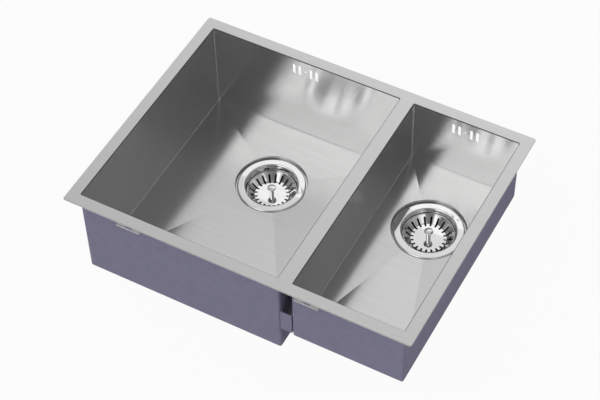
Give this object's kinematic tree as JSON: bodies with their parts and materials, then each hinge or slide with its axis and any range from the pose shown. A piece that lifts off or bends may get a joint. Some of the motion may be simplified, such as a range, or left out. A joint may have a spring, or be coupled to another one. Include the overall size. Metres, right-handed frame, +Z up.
{
  "type": "kitchen sink",
  "caption": "Undermount steel sink with a deep main bowl and a shallower half bowl; each drains through a basket strainer that lifts out and turns.",
  "frame": {"origin": "centre of the rim's top face", "axes": "+X along the sink from the main bowl to the half bowl, +Y to the wall behind, +Z up out of the bowls"},
  "size_m": [0.585, 0.44, 0.262],
  "materials": {
    "brushed_steel": "brushed",
    "polished_steel": "polished",
    "bare_steel": "mill",
    "sound_coat": "sprayed coat",
    "sound_pad": "matt",
    "gasket_rubber": "matt",
    "waste_plastic": "moulded",
    "sleeve_plastic": "moulded",
    "brass": "machined"
  },
  "bodies": {
    "sink": {"rim_deck": "brushed_steel", "main_bowl": "brushed_steel", "half_bowl": "brushed_steel", "main_sound_coat": "sound_coat", "half_sound_coat": "sound_coat", "main_sound_pad": "sound_pad", "half_sound_pad": "sound_pad", "front_bowl_brace": "sound_coat", "back_bowl_brace": "sound_coat", "clip_bracket_front_main": "bare_steel", "clip_bracket_front_half": "bare_steel", "clip_bracket_back_main": "bare_steel", "clip_bracket_back_half": "bare_steel", "clip_bracket_left": "bare_steel", "clip_bracket_right": "bare_steel", "main_strainer": "polished_steel", "main_flange_gasket": "gasket_rubber", "main_lower_gasket": "gasket_rubber", "main_waste_housing": "waste_plastic", "main_waste_outlet": "waste_plastic", "main_housing_insert": "brass", "main_clamp_screw": "polished_steel", "half_strainer": "polished_steel", "half_flange_gasket": "gasket_rubber", "half_lower_gasket": "gasket_rubber", "half_waste_housing": "waste_plastic", "half_waste_outlet": "waste_plastic", "half_housing_insert": "brass", "half_clamp_screw": "polished_steel"},
    "main_stopper_unit": {"main_stopper": "gasket_rubber", "main_stopper_sleeve": "sleeve_plastic"},
    "main_basket_unit": {"main_basket": "polished_steel", "main_knob": "polished_steel", "main_spindle": "polished_steel", "main_basket_nut": "bare_steel", "main_retaining_ring": "bare_steel"},
    "half_stopper_unit": {"half_stopper": "gasket_rubber", "half_stopper_sleeve": "sleeve_plastic"},
    "half_basket_unit": {"half_basket": "polished_steel", "half_knob": "polished_steel", "half_spindle": "polished_steel", "half_basket_nut": "bare_steel", "half_retaining_ring": "bare_steel"}
  },
  "joints": [
    {"name": "main_basket_lift", "type": "slide", "parent": "sink", "child": "main_stopper_unit", "axis": [0, 0, 1], "range_m": [0, 0.06]},
    {"name": "main_basket_spin", "type": "hinge", "parent": "main_stopper_unit", "child": "main_basket_unit", "pos_m": [-0.1025, 0.078, -0.176], "axis": [0, 0, 1], "continuous": true},
    {"name": "half_basket_lift", "type": "slide", "parent": "sink", "child": "half_stopper_unit", "axis": [0, 0, 1], "range_m": [-0.0046, 0.0554]},
    {"name": "half_basket_spin", "type": "hinge", "parent": "half_stopper_unit", "child": "half_basket_unit", "pos_m": [0.1825, 0.078, -0.131], "axis": [0, 0, 1], "continuous": true}
  ]
}
